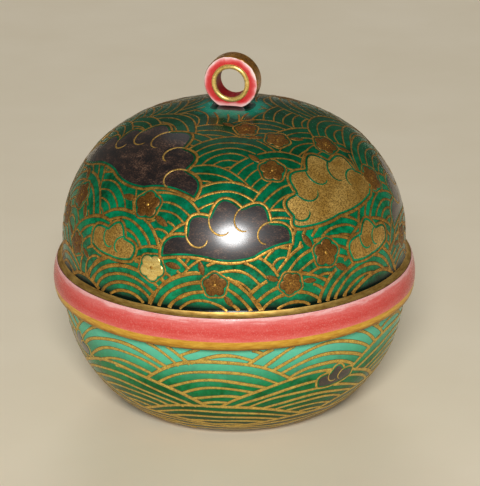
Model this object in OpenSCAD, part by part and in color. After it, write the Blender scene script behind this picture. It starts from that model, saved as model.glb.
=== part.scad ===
// Bell-shaped incense box: a footed bowl with a standing lip, and a domed lid with a flange and a ring knob.
// Millimetres. The origin is the middle of the base, +Z is up, and the knob's bore runs along Y.

/* [Bowl] */
// Outside diameter of the bowl and of the dome
body_d = 62.2; // [56:0.1:70]
// Height of the bowl's rim above the surface the box stands on
rim_z = 21.5; // [19:0.1:24]
// Radius of the turn from the foot into the bowl's side
heel_r = 7; // [5:0.1:8]
// Thickness of the bowl's wall
bowl_wall = 3.6; // [3.2:0.1:4.4]
// Thickness of the bowl's floor
floor_t = 4; // [3:0.1:5]
// Radius of the turn from the floor into the wall inside the bowl
hollow_heel_r = 7; // [5:0.1:9]
// Rounding of the bowl's outer rim
rim_edge_r = 0.4; // [0.2:0.05:0.7]

/* [Foot ring] */
// Outside diameter of the foot ring
foot_d = 34; // [30:0.1:38]
// Width of the foot ring
foot_w = 2.6; // [1.6:0.1:4]
// Height of the foot ring under the bowl
foot_h = 0.8; // [0.5:0.1:1.4]
// Bevel of the foot ring's lower edges
foot_bevel = 0.2; // [0.1:0.05:0.3]

/* [Standing lip] */
// Height of the lip above the bowl's rim
lip_h = 3.6; // [2.5:0.1:4.2]
// Thickness of the lip
lip_t = 1.8; // [1.4:0.1:2.4]
// Rounding of the lip's top edges
lip_edge_r = 0.5; // [0.3:0.05:0.65]

/* [Fit of the lid] */
// Gap all round between the lip and the flange
lip_clearance = 0.35; // [0.2:0.05:0.6]
// Gap between the top of the lip and the flange's ledge
lip_headroom = 0.5; // [0.3:0.1:1]

/* [Flange] */
// Distance that the flange stands out past the bowl
flange_overhang = 1.9; // [1.5:0.05:2.6]
// Height of the flange from its lower face to the ridge under the cove
flange_h = 5.85; // [5.2:0.05:6.8]
// Radius of the flange's bulging face
roll_r = 8.7; // [7:0.1:12]
// Height of the widest part of the flange above its lower face
roll_z = 2.45; // [2:0.05:3.2]
// Rounding of the ridge between the bulging face and the cove
ridge_r = 0.5; // [0.3:0.05:0.7]
// Rounding of the flange's lower edge
flange_edge_r = 0.4; // [0.2:0.05:0.6]
// Height of the cove from the ridge to the dome's foot
cove_h = 1.6; // [1.3:0.05:2]

/* [Dome] */
// Height of the upright wall at the dome's foot
upright_h = 2.25; // [1.6:0.05:3]
// Height of the crown above the upright wall
dome_h = 23.9; // [21:0.1:27]
// Radius of the arc over the crown
crown_r = 52; // [46:0.5:60]
// Thickness of the dome's wall
dome_wall = 3.2; // [2.6:0.1:4]

/* [Ring knob] */
// Outside diameter of the ring
knob_d = 9.8; // [8.5:0.1:12]
// Diameter of the bore through the ring
knob_bore_d = 5.2; // [4:0.1:6]
// Width of the ring along its bore
knob_w = 3.2; // [2.6:0.1:5]
// Depth that the ring's foot is sunk into the crown
knob_sink = 0.4; // [0.3:0.02:0.6]
// Rounding of the ring's edges
knob_edge_r = 0.35; // [0.2:0.05:0.5]
// Width of the bead round each mouth of the bore
bead_w = 0.86; // [0.6:0.02:1.1]
// Distance that the slip collar reaches past each end of the ring's foot
fillet_out = 2.2; // [1.8:0.05:2.6]
// Height of the slip collar over the crown
fillet_h = 0.55; // [0.4:0.05:0.8]

/* [Hidden] */
$fn = 128;
// Steps round the circles that bound the thin slip collar
thin_fn = 720;
// Length by which a cutting shape runs past what it cuts
past = 1;
body_r = body_d / 2;

// Bowl: the side's arc is upright where it meets the rim's rounding, and turns tangent into the heel
foot_r = foot_d / 2;
side_z = rim_z - rim_edge_r;
side_rise = side_z - heel_r;
side_in = body_r - foot_r;
side_r = (side_rise ^ 2 + side_in ^ 2 - heel_r ^ 2) / (2 * (side_in - heel_r));
side_x = body_r - side_r;
hollow_r = body_r - bowl_wall;

// Lip: its inside is flush with the bowl's, and the flange goes over its outside
lip_r = hollow_r + lip_t;
lip_top = rim_z + lip_h;

// Flange: it rests on the rim, and the dome stands on it
flange_r = body_r + flange_overhang;
flange_in_r = lip_r + lip_clearance;
ledge_z = lip_top + lip_headroom;
roll_centre = [flange_r - roll_r, rim_z + roll_z];

// Cove: an arc from the ridge on the bulging face that runs into the dome's upright wall
dome_foot_z = rim_z + flange_h + cove_h;
cove_w = roll_centre.x + sqrt(roll_r ^ 2 - (flange_h - roll_z) ^ 2) - body_r;
cove_r = (cove_w ^ 2 + cove_h ^ 2) / (2 * cove_w);
cove_centre = [body_r + cove_r, dome_foot_z];

// Ridge: its rounding touches the bulging face from inside and the cove from below
between = norm(cove_centre - roll_centre);
cove_dir = (cove_centre - roll_centre) / between;
ridge_along = (between ^ 2 + (roll_r - ridge_r) ^ 2 - (cove_r + ridge_r) ^ 2) / (2 * between);
ridge_aside = sqrt((roll_r - ridge_r) ^ 2 - ridge_along ^ 2);
ridge_centre = roll_centre + ridge_along * cove_dir + ridge_aside * [cove_dir.y, -cove_dir.x];

// Dome: an upright wall, then shoulder and crown arcs, each tangent to the next
shoulder_z = dome_foot_z + upright_h;
crown_z = shoulder_z + dome_h;
crown_centre_z = crown_z - crown_r;
shoulder_r = (2 * crown_r * dome_h - body_r ^ 2 - dome_h ^ 2) / (2 * (crown_r - body_r));
shoulder_x = body_r - shoulder_r;
shoulder_dir = [shoulder_x, shoulder_z - crown_centre_z] / (crown_r - shoulder_r);
dome_in_r = body_r - dome_wall;

// Knob: the ring stands on the crown
knob_r = knob_d / 2;
knob_bore_r = knob_bore_d / 2;
knob_z = crown_z + knob_r - knob_sink;
bead_r = bead_w / 2;
fillet_r = sqrt(knob_r ^ 2 - (knob_r - knob_sink) ^ 2) + fillet_out;
fillet_sag = fillet_h + crown_r - sqrt(crown_r ^ 2 - fillet_r ^ 2);
fillet_top_r = (fillet_r ^ 2 + fillet_sag ^ 2) / (2 * fillet_sag);

// A disc from the axis outwards, cut off level at z_flat over or under its centre, with that corner rounded
module rounded_cut_disc(centre, r, z_flat, edge_r) {
  side = sign(z_flat - centre.y);
  edge_z = z_flat - side * edge_r;
  edge_x = centre.x + sqrt((r - edge_r) ^ 2 - (edge_z - centre.y) ^ 2);
  edge_dir = ([edge_x, edge_z] - centre) / (r - edge_r);
  far = 2 * r;
  intersection() {
    translate(centre) circle(r);
    polygon([centre, centre + [far, 0], centre + [far, far * edge_dir.y], centre + far * edge_dir]);
    span([0, centre.y - far], [centre.x + far, centre.y + far]);
  }
  translate([edge_x, edge_z]) circle(edge_r);
  span([0, min(z_flat, centre.y)], [edge_x, max(z_flat, centre.y)]);
}

// A rectangle from corner to corner
module span(low, high) {
  translate(low) square(high - low);
}

// Outline of the bowl outside, from the axis to the rim's rounded edge
module bowl_outside() {
  rounded_cut_disc([side_x, side_z], side_r, 0, heel_r);
  span([0, side_z - rim_edge_r], [body_r - rim_edge_r, rim_z]);
  translate([body_r - rim_edge_r, side_z]) circle(rim_edge_r);
}

// Outline of the hollow inside the bowl, open at the top
module bowl_hollow() {
  rounded_cut_disc([side_x, side_z], side_r - bowl_wall, floor_t, hollow_heel_r);
  span([0, side_z], [hollow_r, rim_z + past]);
}

module foot_ring() {
  foot_in_r = foot_r - foot_w;
  color("ivory") rotate_extrude() polygon([
    [foot_in_r, foot_h],
    [foot_in_r, foot_bevel],
    [foot_in_r + foot_bevel, 0],
    [foot_r - foot_bevel, 0],
    [foot_r, foot_bevel],
    [foot_r, foot_h]
  ]);
}

module bowl() {
  color("seagreen") rotate_extrude() difference() {
    bowl_outside();
    bowl_hollow();
    span([0, -past], [body_r, foot_h]);
  }
}

module standing_lip() {
  color("ivory") rotate_extrude() {
    span([hollow_r, rim_z], [lip_r, lip_top - lip_edge_r]);
    span([hollow_r + lip_edge_r, rim_z], [lip_r - lip_edge_r, lip_top]);
    for (x = [hollow_r + lip_edge_r, lip_r - lip_edge_r]) {
      translate([x, lip_top - lip_edge_r]) circle(lip_edge_r);
    }
  }
}

// Outline of the flange's bulging face, with its lower edge and the ridge rounded
module flange_roll() {
  far = 2 * roll_r;
  ridge_dir = (ridge_centre - roll_centre) / (roll_r - ridge_r);
  rounded_cut_disc(roll_centre, roll_r, rim_z, flange_edge_r);
  intersection() {
    translate(roll_centre) circle(roll_r);
    polygon([roll_centre, roll_centre + [far, 0], roll_centre + [far, far * ridge_dir.y],
             roll_centre + far * ridge_dir]);
  }
  translate(ridge_centre) circle(ridge_r);
}

// Outline of the flange behind the ridge, hollowed by the cove up to the dome's foot
module cove() {
  difference() {
    polygon([[dome_in_r, roll_centre.y], ridge_centre, cove_centre, [dome_in_r, dome_foot_z]]);
    translate(cove_centre) circle(cove_r);
  }
}

module lid_flange() {
  color("indianred") rotate_extrude() difference() {
    union() {
      flange_roll();
      cove();
    }
    span([0, rim_z - past], [flange_in_r, ledge_z]);
    span([0, rim_z - past], [dome_in_r, dome_foot_z + past]);
  }
}

// Outline of the dome above its upright wall, set in by a wall thickness
module dome_arcs(set_in) {
  shoulder = [shoulder_x, shoulder_z];
  far = 2 * crown_r;
  intersection() {
    translate(shoulder) circle(shoulder_r - set_in);
    polygon([shoulder, shoulder + [far, 0], shoulder + [far, far], shoulder + far * shoulder_dir]);
  }
  intersection() {
    translate([0, crown_centre_z]) circle(crown_r - set_in);
    polygon([[0, shoulder_z], shoulder, shoulder + far * shoulder_dir, [0, crown_z + far]]);
  }
}

module lid_dome() {
  color("seagreen") rotate_extrude() difference() {
    union() {
      dome_arcs(0);
      span([0, dome_foot_z], [body_r, shoulder_z]);
    }
    dome_arcs(dome_wall);
    span([0, dome_foot_z - past], [dome_in_r, shoulder_z]);
  }
}

// The ball whose surface is the dome's crown
module crown_ball() {
  translate([0, 0, crown_centre_z]) sphere(crown_r);
}

// Turns what is drawn round Z so that its axis lies along Y, through the knob's centre
module along_bore() {
  translate([0, 0, knob_z]) rotate([90, 0, 0]) children();
}

// The ring without its bore, with both edges rounded
module knob_disc() {
  half_w = knob_w / 2;
  along_bore() rotate_extrude() {
    span([0, -half_w], [knob_r - knob_edge_r, half_w]);
    span([0, knob_edge_r - half_w], [knob_r, half_w - knob_edge_r]);
    for (z = [knob_edge_r - half_w, half_w - knob_edge_r]) {
      translate([knob_r - knob_edge_r, z]) circle(knob_edge_r);
    }
  }
}

module knob_ring() {
  color("darkgoldenrod") difference() {
    knob_disc();
    along_bore() cylinder(r = knob_bore_r, h = knob_w + 2 * past, center = true);
    crown_ball();
  }
}

// A half-round bead seated on the ring's face, flush with the bore
module knob_bead(side) {
  color("goldenrod") along_bore() translate([0, 0, side * knob_w / 2]) rotate_extrude() intersection() {
    translate([knob_bore_r + bead_r, 0]) circle(bead_r);
    span([knob_bore_r, min(0, side * bead_w)], [knob_bore_r + bead_w, max(0, side * bead_w)]);
  }
}

module knob_bead_front() {
  knob_bead(1);
}

module knob_bead_rear() {
  knob_bead(-1);
}

// A low lens of slip on the crown, with the ring's foot standing in it
module knob_fillet() {
  color("darkslategray") difference() {
    rotate_extrude() intersection() {
      difference() {
        translate([0, crown_z + fillet_h - fillet_top_r]) circle(fillet_top_r, $fn = thin_fn);
        translate([0, crown_centre_z]) circle(crown_r, $fn = thin_fn);
      }
      span([0, crown_z - past], [fillet_r + past, crown_z + past]);
    }
    knob_disc();
  }
}

foot_ring();
bowl();
standing_lip();
lid_flange();
lid_dome();
knob_ring();
knob_bead_front();
knob_bead_rear();
knob_fillet();
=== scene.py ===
"""Looks of the domed incense box: glazed shells, with gold waves, clouds and blossoms painted over them."""
import math

import bmesh
import bpy
import numpy as np
from mathutils import Matrix, Vector, geometry


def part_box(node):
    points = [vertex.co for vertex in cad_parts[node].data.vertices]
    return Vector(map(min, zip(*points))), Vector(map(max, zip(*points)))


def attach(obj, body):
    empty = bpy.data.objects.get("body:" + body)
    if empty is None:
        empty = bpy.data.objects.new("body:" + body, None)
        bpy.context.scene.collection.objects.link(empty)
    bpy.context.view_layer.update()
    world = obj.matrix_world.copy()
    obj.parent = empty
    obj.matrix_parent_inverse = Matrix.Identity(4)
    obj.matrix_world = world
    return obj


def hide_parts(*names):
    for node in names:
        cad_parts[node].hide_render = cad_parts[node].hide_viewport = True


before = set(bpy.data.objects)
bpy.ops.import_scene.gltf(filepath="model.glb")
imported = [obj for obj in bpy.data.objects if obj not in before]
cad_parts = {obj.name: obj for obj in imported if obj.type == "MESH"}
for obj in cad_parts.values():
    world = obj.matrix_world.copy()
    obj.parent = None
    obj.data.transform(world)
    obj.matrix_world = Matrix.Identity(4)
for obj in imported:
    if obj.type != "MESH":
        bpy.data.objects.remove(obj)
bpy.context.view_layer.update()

# Lengths are in millimetres until a mesh is made
MM = 0.001


def span(node):
    """A node's lowest and highest corners in millimetres."""
    low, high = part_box(node)
    return np.array(low) / MM, np.array(high) / MM


# Radii and heights that the CAD parts give
bowl_low, bowl_high = span("bowl")
dome_low, dome_high = span("lid_dome")
bead_low, bead_high = span("knob_bead_front")
foot_r = span("foot_ring")[1][0]
foot_h = bowl_low[2]
rim_z = bowl_high[2]
lip_top = span("standing_lip")[1][2]
flange_r = span("lid_flange")[1][0]
body_r = dome_high[0]
dome_foot_z = dome_low[2]
crown_z = dome_high[2]
knob_r, knob_half_w, _ = span("knob_ring")[1]
knob_z = (bead_low[2] + bead_high[2]) / 2

# Radii and thicknesses of the turned shells, as in the part's source
FOOT_W = 2.6
FOOT_BEVEL = 0.2
HEEL_R = 7.0
BOWL_WALL = 3.6
FLOOR_T = 4.0
HOLLOW_HEEL_R = 7.0
RIM_EDGE_R = 0.4
LIP_T = 1.8
LIP_EDGE_R = 0.5
LIP_CLEARANCE = 0.35
LIP_HEADROOM = 0.5
ROLL_R = 8.7
ROLL_Z = 2.45
RIDGE_R = 0.5
FLANGE_EDGE_R = 0.4
COVE_H = 1.6
UPRIGHT_H = 2.25
CROWN_R = 52.0
DOME_WALL = 3.2
KNOB_BORE_R = 2.6
KNOB_EDGE_R = 0.35
BEAD_R = 0.43

# Painted borders on the flange: height of the gold strip, and width of the painted shadow along the seam
# under it
STRIP_H = 1.77
SHADOW_SEAM_W = 0.6
# Their angles on its roundings: the outer border of the painted shadow at the seam, the dark line on the
# ridge, the lowest green enamel
SHADOW_SEAM_TURN = -30
LINE_LOW, LINE_HIGH = 46, 58
ENAMEL_TURN = -150


def facing(start, end):
    """The angle of the way from one point of a section to another, in degrees."""
    return math.degrees(math.atan2(end[1] - start[1], end[0] - start[0]))


def tucked(centre, radius, small_r, z):
    """The middle, at height z, of a small arc that touches a larger one from inside."""
    return centre[0] + math.sqrt((radius - small_r) ** 2 - (z - centre[1]) ** 2), z


# Bowl: the side's arc and the heel, the hollow inside them, and the lip
side_z = rim_z - RIM_EDGE_R
side_in = body_r - foot_r
side_r = ((side_z - HEEL_R) ** 2 + side_in ** 2 - HEEL_R ** 2) / (2 * (side_in - HEEL_R))
side_c = (body_r - side_r, side_z)
heel_c = (foot_r, HEEL_R)
heel_turn = facing(side_c, heel_c)
foot_turn = -math.degrees(math.asin((HEEL_R - foot_h) / HEEL_R))
foot_in_r = foot_r - FOOT_W
under_r = heel_c[0] + HEEL_R * math.cos(math.radians(foot_turn))
hollow_r = body_r - BOWL_WALL
hollow_side_r = side_r - BOWL_WALL
hollow_heel_c = tucked(side_c, hollow_side_r, HOLLOW_HEEL_R, FLOOR_T + HOLLOW_HEEL_R)
hollow_turn = facing(side_c, hollow_heel_c)
lip_r = hollow_r + LIP_T

# Dome: the crown's and the shoulder's arcs, over an upright wall
shoulder_z = dome_foot_z + UPRIGHT_H
dome_h = crown_z - shoulder_z
crown_c = (0.0, crown_z - CROWN_R)
shoulder_r = (2 * CROWN_R * dome_h - body_r ** 2 - dome_h ** 2) / (2 * (CROWN_R - body_r))
shoulder_c = (body_r - shoulder_r, shoulder_z)
shoulder_turn = facing(crown_c, shoulder_c)
dome_in_r = body_r - DOME_WALL

# Flange: the bulging face, the rounded ridge over it, the cove up to the dome's foot, and the recess inside
ridge_z = dome_foot_z - COVE_H
roll_c = (flange_r - ROLL_R, rim_z + ROLL_Z)
cove_w = roll_c[0] + math.sqrt(ROLL_R ** 2 - (ridge_z - roll_c[1]) ** 2) - body_r
cove_r = (cove_w ** 2 + COVE_H ** 2) / (2 * cove_w)
cove_c = (body_r + cove_r, dome_foot_z)
cove_far = math.dist(roll_c, cove_c)
cove_way = np.subtract(cove_c, roll_c) / cove_far
ridge_along = (cove_far ** 2 + (ROLL_R - RIDGE_R) ** 2 - (cove_r + RIDGE_R) ** 2) / (2 * cove_far)
ridge_aside = math.sqrt((ROLL_R - RIDGE_R) ** 2 - ridge_along ** 2)
ridge_c = roll_c + ridge_along * cove_way + ridge_aside * np.array([cove_way[1], -cove_way[0]])
top_turn = facing(roll_c, ridge_c)
ridge_turn = facing(ridge_c, cove_c)
low_edge_c = tucked(roll_c, ROLL_R, FLANGE_EDGE_R, rim_z + FLANGE_EDGE_R)
low_turn = facing(roll_c, low_edge_c)
strip_turn = math.degrees(math.asin((rim_z + STRIP_H - roll_c[1]) / ROLL_R))
enamel_z = dome_foot_z + cove_r * math.sin(math.radians(ENAMEL_TURN))
flange_in_r = lip_r + LIP_CLEARANCE
ledge_z = lip_top + LIP_HEADROOM

# The photograph's frame and the camera's place round the box
PHOTO_W, PHOTO_H = 480, 486
FOCAL_PX = 2150.0
SENSOR_W = 36.0
CAMERA_AZIMUTH = 14.5
CAMERA_ELEVATION = 20.67
CAMERA_ROLL = 0.45
CAMERA_FAR = 392.6
# Height on the box's axis that the lights face, and how far from there the picture's middle lies
AIM_Z = 27.2
AIM_RIGHT, AIM_UP = 1.04, 1.52
# Direction on the box that faces the camera, as an angle round Z
FRONT = math.radians(CAMERA_AZIMUTH) - math.pi / 2


# Finishes


def srgb(red, green, blue):
    """A colour written as on a screen, from 0 to 255, as the linear values that a shader takes."""
    scaled = [v / 255 for v in (red, green, blue)]
    return [v / 12.92 if v <= 0.04045 else ((v + 0.055) / 1.055) ** 2.4 for v in scaled] + [1.0]


class Nodes:
    """A node tree, and ways to add nodes to it."""

    def __init__(self, tree):
        self.tree = tree

    def put(self, socket, value):
        """Links a socket to a node's output, or gives it a constant."""
        if isinstance(value, bpy.types.NodeSocket):
            self.tree.links.new(value, socket)
        else:
            socket.default_value = value

    def node(self, kind, inputs=(), **settings):
        """A new node with its settings and its inputs."""
        made = self.tree.nodes.new(kind)
        for name, value in settings.items():
            setattr(made, name, value)
        for socket, value in dict(inputs).items():
            self.put(made.inputs[socket], value)
        return made


class Finish(Nodes):
    """A node material that reads the piece's own Object coordinates."""

    def __init__(self, name, **shader):
        self.material = bpy.data.materials.new(name)
        self.material.use_nodes = True
        super().__init__(self.material.node_tree)
        self.shader = self.tree.nodes["Principled BSDF"]
        self.place = self.node("ShaderNodeTexCoord").outputs["Object"]
        for socket, value in shader.items():
            self.put(self.shader.inputs[socket.replace("_", " ")], value)

    def stretched(self, scale):
        """Object coordinates scaled unevenly, so that a grain runs one way."""
        return self.node("ShaderNodeMapping", {"Vector": self.place, "Scale": scale}).outputs["Vector"]

    def grain(self, size, detail=3.0, rough=0.55, place=None):
        """Cloudy noise whose lumps are about size millimetres across."""
        return self.node("ShaderNodeTexNoise", {
            "Vector": place or self.place, "Scale": 1 / (size * MM), "Detail": detail, "Roughness": rough,
        }).outputs["Fac"]

    def mark(self, name):
        """A number that the mesh carries under that name."""
        return self.node("ShaderNodeAttribute", attribute_name=name).outputs["Fac"]

    def height(self):
        """Height on the box in metres."""
        return self.node("ShaderNodeSeparateXYZ", {"Vector": self.place}).outputs["Z"]

    def off_axis(self, point, across):
        """Distance in metres from an axis through a point, measured along the directions in across."""
        away = self.place
        for operation, by in (("SUBTRACT", point), ("MULTIPLY", across)):
            away = self.node("ShaderNodeVectorMath", {0: away, 1: by}, operation=operation).outputs["Vector"]
        return self.node("ShaderNodeVectorMath", {0: away}, operation="LENGTH").outputs["Value"]

    def maths(self, operation, a, b):
        return self.node("ShaderNodeMath", {0: a, 1: b}, operation=operation).outputs["Value"]

    def weighed(self, a, a_weight, b, b_weight):
        """The sum of two values, each times its weight."""
        return self.maths("ADD", self.maths("MULTIPLY", a, a_weight), self.maths("MULTIPLY", b, b_weight))

    def uneven(self, value, noise, drift):
        """A length in metres that noise shifts either way, over drift millimetres in all."""
        shift = self.maths("MULTIPLY", self.maths("SUBTRACT", noise, 0.5), drift * MM)
        return self.maths("ADD", value, shift)

    def scaled(self, value, low, high, to_low=0.0, to_high=1.0):
        """A value brought from one range to another, and held inside it."""
        return self.node("ShaderNodeMapRange", {
            "Value": value, "From Min": low, "From Max": high, "To Min": to_low, "To Max": to_high,
        }).outputs["Result"]

    def ramp(self, value, *stops):
        """Colours against a value from 0 to 1."""
        made = self.node("ShaderNodeValToRGB", {"Fac": value})
        band = made.color_ramp
        while len(band.elements) < len(stops):
            band.elements.new(0.5)
        for element, (at, colour) in zip(band.elements, stops):
            element.position = at
            element.color = colour
        return made.outputs["Color"]

    def clouded(self, noise, low, high, dull, bright):
        """A colour that goes from dull to bright as noise goes from low to high."""
        return self.ramp(self.scaled(noise, low, high), (0.0, dull), (1.0, bright))

    def mixed(self, share, a, b, kind="RGBA"):
        """Colour or vector a, passing to b as share goes from 0 to 1."""
        made = self.node("ShaderNodeMix", {"Factor": share}, data_type=kind)
        ends = [s for s in made.inputs if s.type == kind and s.name in ("A", "B")]
        for socket, value in zip(ends, (a, b)):
            self.put(socket, value)
        return next(s for s in made.outputs if s.type == kind)

    def toned(self, body, tone, value, start, end, share=1.0):
        """A colour that passes to tone as value goes from start to end, by no more than share."""
        return self.mixed(self.scaled(value, start, end, 0.0, share), body, tone)

    def banded(self, body, band, noise, drift, share=1.0):
        """A colour that passes to band's tone between its two heights, at an uneven border."""
        tone, start_z, end_z = band
        level = self.uneven(self.height(), noise, drift)
        return self.toned(body, tone, level, start_z * MM, end_z * MM, share)

    def finished(self, colour, matt, rough, relief, depth):
        """The material with its colour, its roughness over a range, and a relief of depth millimetres."""
        bump = self.node("ShaderNodeBump", {"Height": relief, "Distance": depth * MM, "Strength": 1.0})
        self.put(self.shader.inputs["Base Color"], colour)
        self.put(self.shader.inputs["Roughness"], self.scaled(matt, 0.3, 0.7, *rough))
        self.put(self.shader.inputs["Normal"], bump.outputs["Normal"])
        return self.material


def enamel(name, tones, low_shade, top, coat, specular, rough, heart=None):
    """Glossy green enamel, brushed and cloudy in depth.

    tones are a deep, a fresh and a bluish one. The tones low down and at the top, each with the heights that
    it
    comes in over, are painted shading: darker or lighter where light falls less or more. heart is a tone
    round the box's axis, with the distances for it.
    """
    f = Finish(name, IOR=1.48, Specular_IOR_Level=specular, Coat_Weight=coat, Coat_Roughness=0.05)
    deep, fresh, bluish = tones
    body = f.clouded(f.weighed(f.grain(5.0, 4.0), 0.6, f.grain(0.9, 5.0), 0.4), 0.36, 0.64, deep, fresh)
    body = f.toned(body, bluish, f.grain(2.2, 4.0, 0.6), 0.52, 0.72, 0.7)
    body = f.toned(body, deep, f.grain(0.3, 2.0, 0.6), 0.5, 0.7, 0.5)
    top_shading_tone, top_start, top_end = top
    # Painted shading at the top: darker or lighter by how much light falls there
    body = f.toned(body, top_shading_tone, f.height(), top_start * MM, top_end * MM, 0.9)
    if heart:
        heart_tone, heart_start, heart_end = heart
        out = f.uneven(f.off_axis((0, 0, 0), (1, 1, 0)), f.grain(1.6), 3.0)
        body = f.toned(body, heart_tone, out, heart_start * MM, heart_end * MM, 0.9)
    # Painted shade low down: darker towards the foot
    body = f.banded(body, low_shade, f.grain(3.0), 0.6)
    relief = f.weighed(f.grain(2.2, 2.0), 1.0, f.grain(0.3, 2.0), 0.25)
    return f.finished(body, f.grain(2.5, 4.0), rough, relief, 0.035)


def painted_gold(name, bright, dull, edge, worn, metallic):
    """Brushed gold line: grainy, rubbed thin in places, and dark along both edges where it meets enamel."""
    f = Finish(name, IOR=1.5, Metallic=metallic)
    body = f.clouded(f.grain(0.9, 5.0, 0.65), 0.36, 0.64, dull, bright)
    rubbed = f.scaled(f.grain(3.0, 5.0, 0.6), 0.5, 0.7, 0.0, worn)
    specks = f.scaled(f.grain(0.2, 2.0, 0.6), 0.5, 0.62, 0.0, 0.6)
    body = f.mixed(f.maths("MAXIMUM", rubbed, specks), body, edge)
    body = f.toned(body, edge, f.mark("brush_edge"), 0.62, 0.95)
    return f.finished(body, f.grain(0.4, 4.0), (0.4, 0.58), f.grain(0.2, 3.0), 0.03)


def gold_mass(name, bright, dull, speck, share):
    """A broad area of sprinkled gold, with darker grains showing through."""
    f = Finish(name, IOR=1.5, Metallic=0.6)
    body = f.clouded(f.grain(4.0, 5.0, 0.6), 0.34, 0.66, dull, bright)
    body = f.toned(body, speck, f.grain(0.24, 1.5, 0.6), 0.46, 0.58, share)
    return f.finished(body, f.grain(0.5, 4.0), (0.38, 0.56), f.grain(0.17, 2.0), 0.025)


def dark_enamel(name):
    """Black-brown enamel with a fine brushed grain."""
    f = Finish(name, IOR=1.5, Specular_IOR_Level=0.4, Coat_Weight=0.9, Coat_Roughness=0.19)
    fine = f.grain(0.3, 6.0, 0.7, f.stretched((1.0, 1.0, 3.5)))
    broad = f.grain(3.0, 4.0, 0.6, f.stretched((1.0, 1.0, 2.5)))
    strokes = f.weighed(fine, 0.65, broad, 0.35)
    body = f.ramp(f.scaled(strokes, 0.38, 0.6), (0.0, srgb(4, 3, 5)), (0.5, srgb(24, 15, 15)),
                  (0.8, srgb(62, 41, 30)), (1.0, srgb(112, 84, 66)))
    return f.finished(body, strokes, (0.4, 0.52), strokes, 0.02)


def coral_glaze(name, low_z, high_z):
    """Translucent coral glaze brushed round the box: redder in the middle, pale at its thin upper edge."""
    f = Finish(name, IOR=1.5, Specular_IOR_Level=0.2, Coat_Weight=0.06, Coat_Roughness=0.08)
    streaks = f.grain(2.4, 5.0, 0.55, f.stretched((0.6, 0.6, 5.0)))
    dabs = f.grain(0.5, 4.0, 0.6)
    up = f.scaled(f.uneven(f.height(), streaks, 2.2), low_z * MM, high_z * MM)
    body = f.ramp(up, (0.0, srgb(222, 114, 104)), (0.14, srgb(214, 92, 84)), (0.36, srgb(204, 68, 62)),
                  (0.6, srgb(212, 86, 80)), (0.8, srgb(221, 116, 111)), (0.95, srgb(238, 180, 177)))
    body = f.toned(body, srgb(188, 44, 40), dabs, 0.5, 0.75, 0.35)
    body = f.toned(body, srgb(238, 166, 156), f.grain(0.22, 2.0, 0.6), 0.5, 0.7, 0.3)
    return f.finished(body, dabs, (0.2, 0.32), f.weighed(streaks, 1.0, dabs, 0.3), 0.03)


def ring_coral(name):
    """The knob's coral glaze: deep red round the bore, and drawn thin to white at the ring's edge."""
    f = Finish(name, IOR=1.5, Coat_Weight=0.3, Coat_Roughness=0.05)
    border, drift = f.grain(2.6, 3.0), 1.6
    out = f.uneven(f.off_axis((0, 0, knob_z * MM), (1, 0, 1)), border, drift)
    body = f.ramp(f.scaled(out, (KNOB_BORE_R + 0.6) * MM, knob_r * MM), (0.0, srgb(186, 14, 20)),
                  (0.42, srgb(200, 38, 42)), (0.62, srgb(222, 96, 98)), (0.79, srgb(238, 176, 174)),
                  (0.93, srgb(246, 222, 216)))
    body = f.toned(body, srgb(196, 40, 42), f.grain(0.5, 4.0), 0.52, 0.72, 0.3)
    body = f.banded(body, (srgb(240, 190, 186), crown_z + 1.1, crown_z + 0.5), border, drift, 0.8)
    waves = f.grain(0.9, 3.0)
    return f.finished(body, waves, (0.12, 0.22), waves, 0.02)


def white_glaze(name):
    """Clear glaze over pale clay, with a net of fine crackle."""
    f = Finish(name, IOR=1.5, Coat_Weight=0.3, Coat_Roughness=0.05)
    wander = f.node("ShaderNodeTexNoise", {"Vector": f.place, "Scale": 400.0}).outputs["Color"]
    bent = f.mixed(0.0006, f.place, wander, kind="VECTOR")
    net = f.node("ShaderNodeTexVoronoi", {"Vector": bent, "Scale": 360.0}, feature="DISTANCE_TO_EDGE")
    body = f.clouded(f.grain(9.0, 4.0), 0.3, 0.7, srgb(226, 218, 200), srgb(238, 233, 220))
    body = f.toned(body, srgb(168, 148, 118), net.outputs["Distance"], 0.03, 0.0, 0.36)
    return f.finished(body, f.grain(3.0), (0.1, 0.2), f.grain(2.5), 0.03)


def bare_clay(name, tone, shade):
    """Fine unglazed clay, with turning marks and small specks."""
    f = Finish(name, IOR=1.45)
    marks = f.grain(0.35, 3.0, 0.6, f.stretched((0.12, 0.12, 1.0)))
    body = f.clouded(f.grain(2.0, 5.0), 0.3, 0.7, shade, tone)
    body = f.toned(body, srgb(120, 92, 62), f.grain(0.22, 2.0), 0.66, 0.72, 0.6)
    return f.finished(body, marks, (0.62, 0.85), marks, 0.06)


def burnished_gold(name, bright, dull, rough, metallic=0.6, shade=None):
    """Burnished gold over glaze, rubbed thin in places. shade is painted shade at its foot, a darker tone
    with its heights.
    """
    f = Finish(name, IOR=1.5, Metallic=metallic)
    rubbed = f.grain(0.9, 5.0, 0.62, f.stretched((0.4, 0.4, 2.5)))
    body = f.clouded(rubbed, 0.32, 0.68, dull, bright)
    # Painted shade: darker towards the foot, as if the gold were a rounded ridge turning away from the light
    if shade:
        body = f.banded(body, shade, rubbed, 0.8)
    return f.finished(body, f.grain(0.5, 4.0), rough, f.grain(0.4, 3.0), 0.012)


def plain_glaze(name, deep, fresh, size, coat=0.4, specular=0.5, rough=(0.1, 0.2), rim=None):
    """A small area of glossy glaze, clouded by size. rim is the tone that it thins to, with its heights."""
    f = Finish(name, IOR=1.45, Specular_IOR_Level=specular, Coat_Weight=coat, Coat_Roughness=0.05)
    body = f.clouded(f.grain(size, 4.0), 0.32, 0.68, deep, fresh)
    lumps = f.grain(size, 3.0)
    if rim:
        body = f.banded(body, rim, lumps, 0.3)
    return f.finished(body, lumps, rough, lumps, 0.02)


# The dome: painted shade at its foot above the flange, where less light reaches and enamel gathers thicker,
# and darker painted shade towards the crown, where the light falls off
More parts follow.
